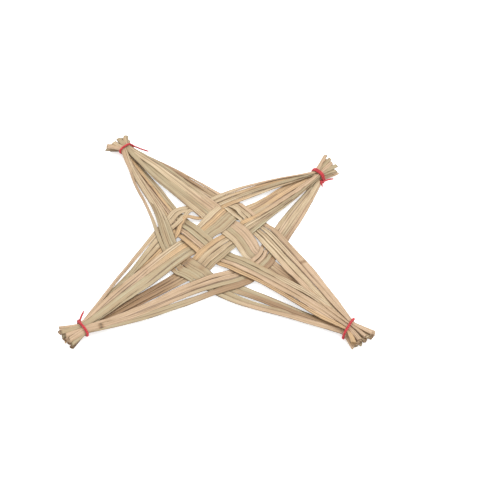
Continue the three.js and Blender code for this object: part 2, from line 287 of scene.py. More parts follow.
def crossing_spans(band, straw, others, is_row):
    """For each crossed band: (start, end, +1 over or -1 under). Start and end repeat
    at = edge of the other band at this straw's sideways place, ten times."""
    spans = []
    for other in others:
        ends = []
        for side in (-1, 1):
            at = 0.0
            for _ in range(10):
                here, half = band.line(straw, at), band.width(straw, at) / 2
                edges = other.edge(side, here + half * np.array([-1.0, 0.0, 1.0]))
                at = float(edges.min() if side < 0 else edges.max())
            ends.append(at + side * CROSSING_ROOM)
        over = ((band.index + other.index) % 2 == 0) == is_row
        spans.append([ends[0], ends[1], 1.0 if over else -1.0])
    for one, two in zip(spans, spans[1:]):
        short = SHORTEST_CLIMB - (two[0] - one[1])
        if short > 0:
            two[0] += short / 2
            one[1] -= short / 2
    return spans


def side_profile(spans):
    """+1 and -1 over the spans, joined by smooth steps across the gaps between them."""
    def profile(at):
        value = np.full(np.shape(at), spans[0][2])
        for one, two in zip(spans, spans[1:]):
            climbed = (at - one[1] + CLIMB_LEAD) / (two[0] - one[1] + 2 * CLIMB_LEAD)
            value = value + (two[2] - one[2]) * smooth_step(climbed)
        return value
    return profile


first_spans = crossing_spans(rows[0], 0, columns, True)
print("straw 1 of row 1:", [[round(v, 1) for v in span] for span in first_spans])

# %% [markdown]
# ## Colours and widths of the straws
#
# Dried stems are never one colour. Here each straw has three letters, for the arm on
# the minus side, the weave and the arm on the plus side: p pale, k pinkish, g grey
# green, o orange, b brown, which is painted shade on stretches that lie under other
# bands. They become four weights on every vertex, which the material mixes, so that a
# stem can change colour along its length. A few straws are also thinner or wider than
# the others for part of their length. Short dark marks show where a leaf was stripped
# off or a stem cracked, and those on row 1 are painted shade in its crumple. Noise
# could place them, but they sit where the picture shows them.

# %% Letters of colour and shares of width
ROW_TONES = [["kgk", "ggg", "pgb", "kgg"], ["poo", "kkk", "ogk", "ggp"],
             ["gpb", "ggb", "pkb", "gkb"], ["bpk", "bpp", "bpk", "kkk"]]
COLUMN_TONES = [["kpk", "gpo", "gpg", "oop"], ["kpo", "kob", "ggo", "ggk"],
                ["bok", "bpg", "bpg", "bgg"], ["kkg", "kkp", "kgp", "gbk"]]
# The b weight is painted shade: brown, with some pink and orange, for straws under other bands.
WEIGHTS = {"p": (0, 0, 0, 0), "k": (1, 0, 0, 0), "g": (0, 1, 0, 0), "o": (0, 0, 1, 0),
           "b": (0.5, 0, 0.2, 1)}
WIDTH_SHARES = {
    "row1_straw1": (0.6, 0.8, 1), "row4_straw4": (0.5, 1, 1.3), "column1_straw1": (0.9, 1, 0.8),
    "column4_straw4": (1.25, 1, 1), "column4_straw3": (0.8, 0.85, 1), "row1_straw4": (1, 1, 1.2),
    "column4_straw1": (1, 0.8, 1), "column4_straw2": (1, 0.8, 1.35), "row2_straw2": (1, 1, 1.5),
    "row2_straw4": (1.1, 1, 1.25), "row3_straw3": (1.4, 1, 1), "column2_straw1": (1.3, 1, 1),
    "column2_straw3": (1.3, 1, 1)}
# Marks: (place, half length, strength). Up to 1 they are brown, above it darker. Those
# on row 1 are painted shade in its crumple, the others dark marks on the stems.
MARKS_AND_SHADE = {
    "column4_straw3": [(-96.3, 1.1, 1.8)], "row2_straw4": [(86, 0.8, 0.8)],
    "row4_straw4": [(48, 0.8, 1.6)], "column1_straw3": [(-62, 0.8, 0.8)],
    "row1_straw4": [(-0.5, 1.6, 1.3), (9.5, 2, 0.8)], "row1_straw3": [(0, 2.2, 1.5)],
    "row1_straw2": [(0.5, 1.4, 1)], "row1_straw1": [(-1, 1.2, 0.9)],
    "row2_straw3": [(-66, 0.7, 0.7)]}
WEAVE_TONE, ARM_TONE = 25.0, 55.0


def three_along(values, at):
    """The three values for minus arm, weave and plus arm, joined by smooth steps between
    WEAVE_TONE and ARM_TONE mm on each side of the middle."""
    low, middle, high = (np.array(value, float) for value in values)
    first, second = (smooth_step((at + start) / (ARM_TONE - WEAVE_TONE))
                     for start in (ARM_TONE, -WEAVE_TONE))
    if low.ndim:
        first, second = first[:, None], second[:, None]
    return low + (middle - low) * first + (high - middle) * second


print("tones:", sum(len(band) for band in ROW_TONES + COLUMN_TONES))

# %% [markdown]
# ## Folds
#
# Where the weaver bent a stem, it leaves its place in the band. Each fold is a list
# of smooth bumps on one straw: where it is, how far it reaches, how far it pushes the
# straw sideways and up. Column 1 has a slanting and a kinked straw over row 2, column
# 4 swings out over row 3, two straws of row 4 part over column 2, and row 1 is
# crumpled over column 3. A few wide straws lie a little higher in one arm.

# %% Folds of single straws
FOLDS = {
    "column1_straw1": [(-4, 9, -0.8, 0)], "column1_straw2": [(-4, 9, -0.9, 0)],
    "column1_straw3": [(4, 7, -3, 0.45), (-10, 9, 1.3, 0.35)],
    "column1_straw4": [(4.5, 5.5, 2.6, 0.1), (-3.5, 5, -1.6, 0.5), (-17, 8, 2.8, 0.1)],
    "row4_straw1": [(-10, 8, -0.4, -0.25)], "row4_straw2": [(-12, 6, 1.1, 0.55)],
    "column4_straw1": [(6, 9, -0.2, 0.5)], "column4_straw3": [(6, 9, 0, 0.4)],
    "row4_straw3": [(62, 26, 0.4, -0.3)], "row2_straw2": [(74, 30, 0.3, 0.6)],
    "row2_straw4": [(70, 28, 0.3, 0.65), (-62, 30, 0, 0.3)], "row3_straw3": [(-74, 30, 0, 0.45)],
    "column2_straw1": [(-72, 28, 0, 0.3)],
    "column2_straw3": [(-72, 30, 0, 0.4), (66, 28, 0, 0.35)],
    "column4_straw2": [(72, 30, 0, 0.4), (6, 9, 0.2, 0.1)], "row1_straw1": [(1, 6, -1.3, 0.3)],
    "row1_straw2": [(1.5, 5, -0.9, 0.1)], "row1_straw3": [(1, 5, 0.4, -0.25)],
    "row1_straw4": [(4, 7, 0.2, 0.5)],
}


def folded(name, at):
    """Sideways and upward shift of a straw: the sum of amount * (1 - s^2)^2 over its
    bumps, with s = (at - middle) / reach between -1 and 1."""
    shift = np.zeros((2, len(at)))
    for middle, reach, sideways, rise in FOLDS.get(name, []):
        s = np.clip((at - middle) / reach, -1.0, 1.0)
        shift += np.outer((sideways, rise), (1 - s * s) ** 2)
    return shift


print("folded straws:", len(FOLDS))

# %% [markdown]
# ## A mesh from a grid
#
# Every straw and thread is a profile carried along a path, so one helper turns the
# grid of points into a closed mesh: rings of points, quads between them, and a fan
# at both ends. A second one makes the object, with the colour weights and a UV map
# whose V counts millimetres along the piece.

# %% Mesh helper


def tube_mesh(rings, uv, tone=None, closed=False):
    """Mesh of an (n, k, 3) grid of rings in metres. Quads join ring i to ring i + 1, and
    point j to j + 1 around. Ends get a fan to their middle unless the tube is closed
    into a loop. uv is an (n, k + 1, 2) grid, and tone an (n, 4) array of weights. The
    faces are turned round where the volume, a sum of a . (b x c), comes out negative."""
    n, k = rings.shape[:2]
    i, j = np.meshgrid(np.arange(n if closed else n - 1), np.arange(k), indexing="ij")
    steps = (0, 0), (0, 1), (1, 1), (1, 0)
    quads = np.stack([(i + a) % n * k + (j + b) % k for a, b in steps], -1).reshape(-1, 4)
    quad_uv = np.stack([uv[i + a, j + b] for a, b in steps], -2).reshape(-1, 4, 2)
    points = rings.reshape(-1, 3)
    triangles, triangle_uv = np.zeros((0, 3), int), np.zeros((0, 3, 2))
    if not closed:
        points = np.vstack([points, rings[0].mean(0), rings[-1].mean(0)])
        around, last = np.arange(k), (n - 1) * k
        beside, hub = (around + 1) % k, np.full(k, n * k)
        triangles = np.vstack([np.stack([hub, beside, around], -1),
                               np.stack([hub + 1, last + around, last + beside], -1)])
        triangle_uv = np.repeat(uv[[0, -1], :k], 3, axis=1).reshape(-1, 3, 2)
    corner = points[quads]
    volume = sum((corner[:, 0] * np.cross(corner[:, a], corner[:, a + 1])).sum() for a in (1, 2))
    if volume < 0:
        quads, quad_uv = quads[:, ::-1], quad_uv[:, ::-1]
        triangles, triangle_uv = triangles[:, ::-1], triangle_uv[:, ::-1]
    tones = np.zeros((len(points), 4))
    if tone is not None:
        tones[:n * k] = np.repeat(tone, k, axis=0)
        tones[n * k:] = tone[[0, -1]][:len(points) - n * k]
    return dict(points=points, tones=tones, quads=quads, triangles=triangles,
                uv=np.concatenate([quad_uv.reshape(-1, 2), triangle_uv.reshape(-1, 2)]))


def fill(layer, key, values, kind=np.float32):
    """A whole array into one property of a mesh layer."""
    layer.foreach_set(key, np.asarray(values, kind).reshape(-1))


def make_piece(name, parts, material):
    """One object of one or more tube meshes, smooth shaded, at the origin."""
    points, tones = (np.concatenate([part[key] for part in parts]) for key in ("points", "tones"))
    starts = np.cumsum([0] + [len(part["points"]) for part in parts])
    polygons = []
    for part, start in zip(parts, starts):
        quad_count = part["quads"].size
        polygons += [(part["quads"] + start, part["uv"][:quad_count]),
                     (part["triangles"] + start, part["uv"][quad_count:])]
    loops = np.concatenate([p.reshape(-1) for p, _ in polygons])
    sizes = np.concatenate([np.full(len(p), p.shape[1]) for p, _ in polygons])
    mesh = bpy.data.meshes.new(name)
    mesh.vertices.add(len(points))
    mesh.loops.add(len(loops))
    mesh.polygons.add(len(sizes))
    fill(mesh.vertices, "co", points)
    fill(mesh.loops, "vertex_index", loops, np.int32)
    fill(mesh.polygons, "loop_start", np.cumsum(sizes) - sizes, np.int32)
    mesh.update(calc_edges=True)
    fill(mesh.polygons, "use_smooth", np.ones(len(sizes)), bool)
    fill(mesh.uv_layers.new(name="straw_mm").data, "uv", np.concatenate([m for _, m in polygons]))
    fill(mesh.color_attributes.new("tone", "FLOAT_COLOR", "POINT").data, "color", tones)
    mesh.validate()
    mesh.materials.append(material)
    return new_object(name, mesh)


trial = tube_mesh(np.zeros((3, 4, 3)), np.zeros((3, 5, 2)))
print("3 rings of 4:", {kind: len(trial[kind]) for kind in ("quads", "triangles")})

# %% [markdown]
# ## Fine lines along a fibre
#
# Straw and thread both show fine lines that run along them. One node group makes
# them for both: noise that is stretched along the V direction of the UV map. Each
# material decides what its fine lines, dark seams and soft clouds do.

# %% Node group of fibre lines


def add(tree, kind, **values):
    """New node with properties and input values set by name."""
    node = tree.nodes.new(kind)
    for key, value in values.items():
        if key in node.inputs:
            node.inputs[key].default_value = value
        else:
            setattr(node, key, value)
    return node


def ramp(tree, value, low, high, to_low=0.0, to_high=1.0, smooth=False):
    """Map range node from (low, high) to (to_low, to_high), held at its ends."""
    limits = {"From Min": low, "From Max": high, "To Min": to_low, "To Max": to_high}
    steps = "SMOOTHSTEP" if smooth else "LINEAR"
    node = add(tree, "ShaderNodeMapRange", interpolation_type=steps, **limits)
    tree.links.new(value, node.inputs["Value"])
    return node.outputs["Result"]


def fibre_group():
    """Lines: noise of (u * Across, v * Along) with its contrast raised. Seams: the few
    peaks of the same at a larger scale. Clouds: wide soft noise of (u, v)."""
    group = bpy.data.node_groups.new("fibre_lines", "ShaderNodeTree")
    sockets = (("INPUT", "Vector", ["Vector"]), ("INPUT", "Float", ["Across", "Along"]),
               ("OUTPUT", "Float", ["Lines", "Clouds", "Seams"]))
    for way, kind, labels in sockets:
        for label in labels:
            group.interface.new_socket(label, in_out=way, socket_type="NodeSocket" + kind)
    start, end = add(group, "NodeGroupInput"), add(group, "NodeGroupOutput")
    link = group.links.new
    scale = add(group, "ShaderNodeCombineXYZ")
    stretch = add(group, "ShaderNodeVectorMath", operation="MULTIPLY")
    link(start.outputs["Across"], scale.inputs["X"])
    link(start.outputs["Along"], scale.inputs["Y"])
    link(start.outputs["Vector"], stretch.inputs[0])
    link(scale.outputs[0], stretch.inputs[1])

    def noise(place, size, detail):
        """2D noise at a place, with a scale and a number of finer layers."""
        node = add(group, "ShaderNodeTexNoise", noise_dimensions="2D", Scale=size, Detail=detail)
        link(place, node.inputs["Vector"])
        return node.outputs["Fac"]

    link(ramp(group, noise(stretch.outputs[0], 1.0, 3.0), 0.3, 0.7), end.inputs["Lines"])
    link(ramp(group, noise(stretch.outputs[0], 0.45, 1.0), 0.62, 0.7), end.inputs["Seams"])
    link(noise(start.outputs["Vector"], 0.09, 2.0), end.inputs["Clouds"])
    return group


fibres = fibre_group()
print("group:", fibres.name, [item.name for item in fibres.interface.items_tree])

# %% [markdown]
# ## Straw
#
# The stems are dry, silky and a little uneven: pale tan with pinkish, green and
# orange ones between them, and fine dark lines along the fibre. Painted shade darkens
# their thin edges, where one straw laps over the next, and the brown weight paints
# shade on straws under other bands. The weights on the vertices choose the colour,
# the fibre group draws the lines.

# %% Colours and mixing


def linear(red, green, blue):
    """Linear colour of display values from 0 to 255."""
    c = np.array([red, green, blue]) / 255.0
    return (*np.where(c <= 0.04045, c / 12.92, ((c + 0.055) / 1.055) ** 2.4), 1.0)


PALE, PINKISH = linear(205, 187, 155), linear(202, 174, 146)
GREY_GREEN, ORANGE = linear(172, 162, 131), linear(207, 171, 126)
# The brown below paints shade on straws under other bands and colours the dark marks; the darker
# one is for the strongest marks and the painted shade on row 1.
SHADE_AND_MARK_BROWN, DARKEST_MARK_AND_SHADE = linear(134, 100, 71), linear(66, 55, 48)
CLOUD, FINE_LINE = linear(158, 129, 94), linear(158, 131, 97)
# The second colour on the next line is painted shade for the thin edges of the straws, where one
# laps over the next.
SEAM, PAINTED_EDGE_SHADE = linear(84, 54, 32), linear(84, 56, 34)
# The map of a straw counts HALF_MAP over its top and as much back underneath.
HALF_MAP, EDGE_BAND = 4.0, (1.5, 1.88)


def arithmetic(tree, operation, first, second=None):
    """Math node of one or two values, each a number or a socket."""
    node = add(tree, "ShaderNodeMath", operation=operation)
    for value, socket in zip((first, second), node.inputs):
        if isinstance(value, (int, float)):
            socket.default_value = value
        elif value is not None:
            tree.links.new(value, socket)
    return node.outputs[0]


def blend_colour(tree, weight, base, colour, strength=1.0):
    """Mix node from base to colour by a weight, scaled by strength."""
    node = add(tree, "ShaderNodeMix", data_type="RGBA")
    if strength != 1.0:
        weight = arithmetic(tree, "MULTIPLY", weight, strength)
    tree.links.new(weight, node.inputs["Factor"])
    for value, socket in ((base, node.inputs["A"]), (colour, node.inputs["B"])):
        if isinstance(value, tuple):
            socket.default_value = value
        else:
            tree.links.new(value, socket)
    return node.outputs["Result"]


def edge_mask(tree, uv):
    """1 at the two edges of a straw and 0 on its flats: the distance of u from the middle
    of its side, |u mod HALF_MAP - HALF_MAP / 2|, sharpened over EDGE_BAND."""
    parts = add(tree, "ShaderNodeSeparateXYZ")
    tree.links.new(uv, parts.inputs[0])
    around = arithmetic(tree, "MODULO", parts.outputs["X"], HALF_MAP)
    around = arithmetic(tree, "SUBTRACT", around, HALF_MAP / 2)
    return ramp(tree, arithmetic(tree, "ABSOLUTE", around), *EDGE_BAND, smooth=True)


print("pale straw, linear:", [round(float(v), 2) for v in PALE])

# %% Straw material


def new_material(name, across, along, **finish):
    """Material with a shader of some finish, the map of the piece and its fibre lines."""
    material = bpy.data.materials.new(name)
    material.use_nodes = True
    tree = material.node_tree
    tree.nodes.clear()
    shader = add(tree, "ShaderNodeBsdfPrincipled", **finish)
    output = add(tree, "ShaderNodeOutputMaterial")
    tree.links.new(shader.outputs[0], output.inputs[0])
    uv = add(tree, "ShaderNodeUVMap", uv_map="straw_mm").outputs["UV"]
    lines = add(tree, "ShaderNodeGroup", node_tree=fibres, Across=across, Along=along)
    tree.links.new(uv, lines.inputs["Vector"])
    return material, tree, shader, uv, lines.outputs


def cover(tree, shader, colour, lines, strength, depth):
    """The colour, and a bump of the fibre lines, given to the shader."""
    bump = add(tree, "ShaderNodeBump", Strength=strength, Distance=depth)
    tree.links.new(lines["Lines"], bump.inputs["Height"])
    tree.links.new(bump.outputs[0], shader.inputs["Normal"])
    tree.links.new(colour, shader.inputs["Base Color"])


def straw_material():
    """Pale, mixed with the colour of each weight in turn, the brown one partly painted shade,
    then clouds, lines, seams and painted shade at the straw edges over them. The fine
    lines are rougher (0.62) than the fibres (0.44)."""
    material, tree, shader, uv, lines = new_material("dry_straw", across=3.2, along=0.02)
    tone = add(tree, "ShaderNodeVertexColor", layer_name="tone")
    weights = add(tree, "ShaderNodeSeparateColor")
    tree.links.new(tone.outputs["Color"], weights.inputs[0])
    # The fourth weight is painted shade on straws under other bands, plus the dark marks and the
    # painted shade on row 1.
    shade_and_marks = tone.outputs["Alpha"]
    colour = PALE
    for weight, stem in ((weights.outputs[0], PINKISH), (weights.outputs[1], GREY_GREEN),
                         (weights.outputs[2], ORANGE), (shade_and_marks, SHADE_AND_MARK_BROWN),
                         (ramp(tree, shade_and_marks, 1.0, 1.5), DARKEST_MARK_AND_SHADE)):
        colour = blend_colour(tree, weight, colour, stem)
    spots = ramp(tree, lines["Clouds"], 0.45, 0.72)
    colour = blend_colour(tree, spots, colour, CLOUD, strength=0.35)
    colour = blend_colour(tree, lines["Lines"], FINE_LINE, colour)
    colour = blend_colour(tree, lines["Seams"], colour, SEAM, strength=0.65)
    # Painted shade: both thin edges of each straw are darkened, in patches, where straws lap over
    # each other.
    edge_shade_patches = ramp(tree, lines["Clouds"], 0.4, 0.58, to_low=0.08)
    edges = arithmetic(tree, "MULTIPLY", edge_mask(tree, uv), edge_shade_patches)
    colour = blend_colour(tree, edges, colour, PAINTED_EDGE_SHADE, strength=0.75)
    roughness = ramp(tree, lines["Lines"], 0.0, 1.0, to_low=0.62, to_high=0.44)
    tree.links.new(roughness, shader.inputs["Roughness"])
    cover(tree, shader, colour, lines, strength=0.6, depth=0.00012)
    return material


straw_look = straw_material()
print("material:", straw_look.name, len(straw_look.node_tree.nodes), "nodes")

# %% [markdown]
# ## The straws
#
# A stem pressed flat is a thin hollow ribbon with round edges and a slight crown. It
# could be a curve with a bevel, but its width, height and roll change along it, so
# the section is computed at every place. The four straws of a band lie like roof
# tiles: each is rolled, by up to 19 degrees, so that its edge lies on its neighbour.
# Towards the tie they crowd together, so they also part into two levels there. Under
# the thread the levels bend into a round bundle, and the cut ends spread out and stay
# open. The wall turns in at the rim and closes a few millimetres inside.

# %% Straw surface
TOP_POINTS = 13
ACROSS = np.sin(np.linspace(-np.pi / 2, np.pi / 2, TOP_POINTS))
UNDERNEATH = ACROSS[-2:0:-1]
AROUND = np.concatenate([ACROSS, UNDERNEATH])
SIDE_UP = np.repeat([1.0, -1.0], [len(ACROSS), len(UNDERNEATH)])
PERIMETER = np.concatenate([(ACROSS + 1) * HALF_MAP / 2,
                            HALF_MAP + (1 - UNDERNEATH) * HALF_MAP / 2, [2 * HALF_MAP]])
WALL, RING_STEP = 0.22, 0.95
HOLLOW = np.array([6.5, 5.0, 3.0, 1.4, 0.5, 0.1])
FLAT_POWER, OPEN_POWER = 5.0, 2.2
CROWN, CROWN_DRIFT = (0.05, 0.2), 0.06
CREASE_AT, CREASE_WIDTH, WEAVE_CREASE, ARM_CREASE = 0.6, 0.16, 0.03, 0.07
# How far a straw wanders: sideways in the arm and in the weave, up, in width, in roll.
ARM_SWAY, WEAVE_SWAY, LIFT, SWELL, WOBBLE = 0.2, 0.08, 0.07, 0.04, math.radians(6.0)
TILE_ROOM, STEEPEST_TILE, TIP_TILE = 0.04, 0.32, 0.4
TIP_JITTER, TIP_ROLL, CUT_LEAN, TIP_SPREAD = 0.4, 13.0, 0.28, 1.15


def unit(vectors):
    """Each row divided by its length."""
    return vectors / np.linalg.norm(vectors, axis=1, keepdims=True)


class Straw:
    """One straw of a band. Its places run along the band, sideways and up, in mm."""

    def __init__(self, band, number, others, is_row, rng):
        self.band, self.number, self.is_row = band, number, is_row
        self.name = f"{'row' if is_row else 'column'}{band.index + 1}_straw{number + 1}"
        self.spans = crossing_spans(band, number, others, is_row)
        self.profile = side_profile(self.spans)
        self.layer = 1.0 if number % 2 == 0 else -1.0
        # Eight places across the brush, from -1/2 to 1/2.
        self.tip_place = (number - 1.5 + (-2 if band.index < 2 else 2)) / 7
        count = band.index * PER_BAND + number
        self.uv_start = 16.0 * count + (400.0 if is_row else 0.0)
        phase = 0.7 if is_row else 2.1
        # The cut ends: reach, slanting line, and a sine of the straw's number.
        self.tips = [tie["out"] + way * (tie["reach"] + tie["slant"] * self.tip_place
                                         + tie["uneven"] * math.sin(2.4 * count + phase + way))
                     for tie, way in ((band.low, -1), (band.high, 1))]
        self.sway, self.lift, self.swell, self.turn = (
            slow_wave(rng, length) for length in (70.0, 45.0, 30.0, 60.0))
        self.tip_jitter = rng.uniform(-TIP_JITTER, TIP_JITTER, 2)
        self.tip_roll = np.radians(rng.uniform(-TIP_ROLL, TIP_ROLL, 2))
        self.cut = rng.uniform(-CUT_LEAN, CUT_LEAN, 2)
        self.crown = rng.uniform(*CROWN)
        self.crease = rng.uniform(-CREASE_AT, CREASE_AT)

    def arm(self, at):
        """0 in the weave, rising to 1 at the tie."""
        low, high = self.band.waists
        start, end = self.spans[0][0], self.spans[-1][1]
        share = np.where(at < start, (start - at) / (start - low), (at - end) / (high - end))
        return np.clip(share, 0, 1)

    def brush(self, at):
        """0 up to the tie, rising to 1 at the cut end."""
        low, high = self.band.low["out"] - WAIST_HALF, self.band.high["out"] + WAIST_HALF
        return np.clip(np.where(at < 0, (low - at) / (low - self.tips[0]),
                                (at - high) / (self.tips[1] - high)), 0, 1)

    def in_bundle(self, at):
        """Place across the bundle, from about -1 to 1, where the straw meets the tie."""
        band = self.band
        sides = [(band.line(self.number, waist) - tie["side"]) / tie["half"]
                 for waist, tie in zip(band.waists, (band.low, band.high))]
        return np.where(at < 0, *sides)

    def level(self, at):
        """Height in the bundle: side and layer steps, pulled in at the bundle's sides."""
        step = mix(WAIST_STEP, TIP_STEP, self.brush(at))
        places = self.profile(at) + mix(WAIST_LAYER, TIP_LAYER, self.brush(at)) * self.layer
        return places * step * (1 - BUNDLE_CONVEX * self.in_bundle(at) ** 2)

    def path(self, at):
        """Middle line. The bands were read against a plane, so a straw above or below it
        is moved along the line of sight, until the tie, whose place is known."""
        arm, brush, band = self.arm(at), self.brush(at), self.band
        waist_side = np.where(at < 0, *(band.line(self.number, waist) for waist in band.waists))
        tips = [mix(low, high, 0.5) + (high - low - TIP_WIDTH) * self.tip_place
                for low, high in (band.low["tips"], band.high["tips"])]
        shift, rise = folded(self.name, at)
        sideways = np.where(arm >= 1, waist_side, band.line(self.number, at)) + shift
        wander = ARM_SWAY * np.sin(np.pi * arm) + WEAVE_SWAY * (1 - arm)
        sideways = sideways + wander * self.sway(at)
        tip_side = np.where(at < 0, *tips) + np.where(at < 0, *self.tip_jitter)
        sideways = mix(sideways, tip_side, brush ** TIP_SPREAD)
        bundled = WAIST_HEIGHT + self.level(at)
        seen = (mix(WEAVE_MIDDLE, bundled, arm) - READ_HEIGHT) * (1 - arm ** 4)
        ahead, aside = SIGHT if self.is_row else SIGHT[::-1]
        height = mix(WEAVE_MIDDLE + CROSSING_LIFT * self.profile(at), bundled, arm)
        return np.stack([at + ahead * seen, sideways + aside * seen,
                         height + rise + LIFT * self.lift(at) * (1 - arm)], -1)

    def roll(self, at):
        """Roof-tile angle asin(thickness / pitch), up to a limit, plus the slope of the
        round bundle, plus a slow wobble in the arms and a turn of the cut end."""
        arm, brush = self.arm(at), self.brush(at)
        pitch = self.band.pitch(np.clip(at, *self.band.waists)) * (1 + arm)
        rise = mix(STRAW, WAIST_STRAW, arm) + TILE_ROOM
        tile = np.arcsin(np.clip(rise / pitch, 0, STEEPEST_TILE))
        bundle = np.where(at < 0, self.band.low["half"], self.band.high["half"])
        slope = -2 * BUNDLE_CONVEX * self.in_bundle(at) * self.level(at) / bundle
        wobble = WOBBLE * 4 * arm * (1 - arm) * self.turn(at)
        side = -1.0 if self.band.index % 2 else 1.0
        return (side * tile * mix(1, TIP_TILE, brush) + arm ** 2 * np.arctan(slope) + wobble
                + brush * np.where(at < 0, *self.tip_roll))

    def width(self, at):
        """The band's width times the straw's share and swell, then a smooth step to the
        width under the thread, and on to that of the cut end."""
        wide = self.band.width(self.number, np.clip(at, *self.band.waists))
        shares = three_along(WIDTH_SHARES.get(self.name, (1, 1, 1)), at)
        wide = wide * shares * (1 + SWELL * self.swell(at))
        wide = mix(wide, WAIST_WIDTH, smooth_step((self.arm(at) - 0.7) / 0.3))
        return mix(wide, TIP_WIDTH, self.brush(at))

    def rings(self):
        """Rings at every place: centre + side * x w/2 + up * (y h/2 + bend), where y is
        +-(1 - |x|^k)^0.5, with a power k from FLAT_POWER to OPEN_POWER at the cut end, and
        the bend is a crown (1 - x^2) less a crease exp(-((x - crease) / width)^2). Inner
        rings lie one wall inside, and the cut leans across the straw."""
        outer = np.linspace(*self.tips, int((self.tips[1] - self.tips[0]) / RING_STEP))
        at = np.concatenate([self.tips[0] + HOLLOW, outer, self.tips[1] - HOLLOW[::-1]])
        inner = np.repeat([1.0, 0.0, 1.0], [len(HOLLOW), len(outer), len(HOLLOW)])
        centre = self.path(at)
        along = unit(self.path(at + 0.3) - self.path(at - 0.3))
        beside = unit(np.stack([-along[:, 1], along[:, 0], np.zeros(len(at))], -1))
        upward = np.cross(along, beside)
        cos, sin = np.cos(self.roll(at))[:, None], np.sin(self.roll(at))[:, None]
        beside, upward = beside * cos + upward * sin, upward * cos - beside * sin
        arm, brush = self.arm(at), self.brush(at)
        width = self.width(at) - 2 * WALL * inner
        height = mix(mix(STRAW, WAIST_STRAW, arm), TIP_STRAW, brush) - 2 * WALL * inner
        x = AROUND[None]
        crown = self.crown + CROWN_DRIFT * self.turn(at)
        crease = mix(WEAVE_CREASE, ARM_CREASE, arm) * (1 + self.swell(at))
        bend = (crown[:, None] * (1 - x * x)
                - crease[:, None] * np.exp(-((x - self.crease) / CREASE_WIDTH) ** 2))
        roundness = mix(FLAT_POWER, OPEN_POWER, brush)[:, None]
        rise = SIDE_UP * np.sqrt(1 - np.abs(x) ** roundness) * height[:, None] / 2 + bend
        cut = np.where(at < 0, *self.cut) * smooth_step((brush - 0.6) / 0.4)
        points = (centre[:, None] + beside[:, None] * (x * width[:, None] / 2)[..., None]
                  + upward[:, None] * rise[..., None]
                  + along[:, None] * (x * (width * cut)[:, None])[..., None])
        uv = np.stack(np.broadcast_arrays(self.uv_start + PERIMETER[None], at[:, None]), -1)
        return points, uv, at


def turned(points, is_row):
    """(along, sideways, up) as (x, y, up), or the other way: a column swaps the two."""
    return points[..., [0, 1, 2] if is_row else [1, 0, 2]]


def to_part(points, is_row):
    """Points along, sideways and up (mm) as x, y and z of the part (metres)."""
    return turned(points, is_row) * MM + np.array([WEAVE_AT.x, WEAVE_AT.y, 0.0])


print("section:", len(AROUND), "points around,", len(HOLLOW), "rings inside each end")

# %% Make the straws
straw_pieces, straw_points = [], {True: [], False: []}
for bands, others, tones, is_row in ((rows, columns, ROW_TONES, True),
                                     (columns, rows, COLUMN_TONES, False)):
    for band in bands:
        for number in range(PER_BAND):
            rng = np.random.default_rng(100 * is_row + 10 * band.index + number)
            straw = Straw(band, number, others, is_row, rng)
            points, uv, at = straw.rings()
            tone = three_along([WEIGHTS[letter] for letter in tones[band.index][number]], at)
            # Dark marks, and the painted shade of row 1's crumple, raise the brown weight.
            for place, half, strength in MARKS_AND_SHADE.get(straw.name, []):
                tone[:, 3] += strength * np.exp(-((at - place) / half) ** 2)
            tube = tube_mesh(to_part(points, is_row), uv, tone)
            piece = make_piece(f"stem_{straw.name}", [tube], straw_look)
            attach(piece, "root")
            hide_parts(straw.name)
            straw_pieces.append(piece)
            straw_points[is_row].append(points.reshape(-1, 3))
print("straws:", len(straw_pieces), "faces:", sum(len(p.data.polygons) for p in straw_pieces))

# %% [markdown]
# ## Thread
#
# Red cotton of two strands twisted together. A plain tube would look like wire, so
# the section is two-lobed and turns as it goes along, which gives real ridges.

# %% Thread material


def thread_material():
    """Dark to bright red along the strands, rough, with a soft sheen of cotton."""
    finish = {"Roughness": 0.75, "Sheen Weight": 0.25, "Sheen Roughness": 0.5}
    material, tree, shader, _, lines = new_material("red_thread", across=3.0, along=1.2, **finish)
    colour = blend_colour(tree, lines["Lines"], linear(146, 20, 30), linear(208, 52, 60))
    cover(tree, shader, colour, lines, strength=0.7, depth=0.0001)
    return material


thread_look = thread_material()
THREAD, TWIST = 0.84, 2.6
LOBES, THREAD_AROUND = (0.82, 0.2), 14
print("thread:", 2 * THREAD, "mm")

# %% [markdown]
# ## Ties
#
# The thread goes round the bundle once or twice and is knotted. On three ties the
# ends stick out as short tails, and on the fourth the knot is below. A drawn ring
# would float off the straws, so the loop is worked out from the straws themselves:
# it is the hull of their sections at the tie, moved out by about half a thread. The
# knot is a small three-lobed turn of the same thread.

# %% Thread surface
THREAD_STEP, KNOT_STEP, FRAY_LENGTH, LOOP_ANGLES = 0.3, 0.2, 2.0, 144


def resample(points, step):
    """Points at equal steps along a chain of points, with the first and last kept."""
    points = np.asarray(points, float)
    length = np.concatenate([[0], np.cumsum(np.linalg.norm(np.diff(points, axis=0), axis=1))])
    places = np.linspace(0, length[-1], max(int(length[-1] / step), 4))
    smooth = [curve_through(length, points[:, k]) for k in range(3)]
    return np.stack([curve(places) for curve in smooth], -1), places


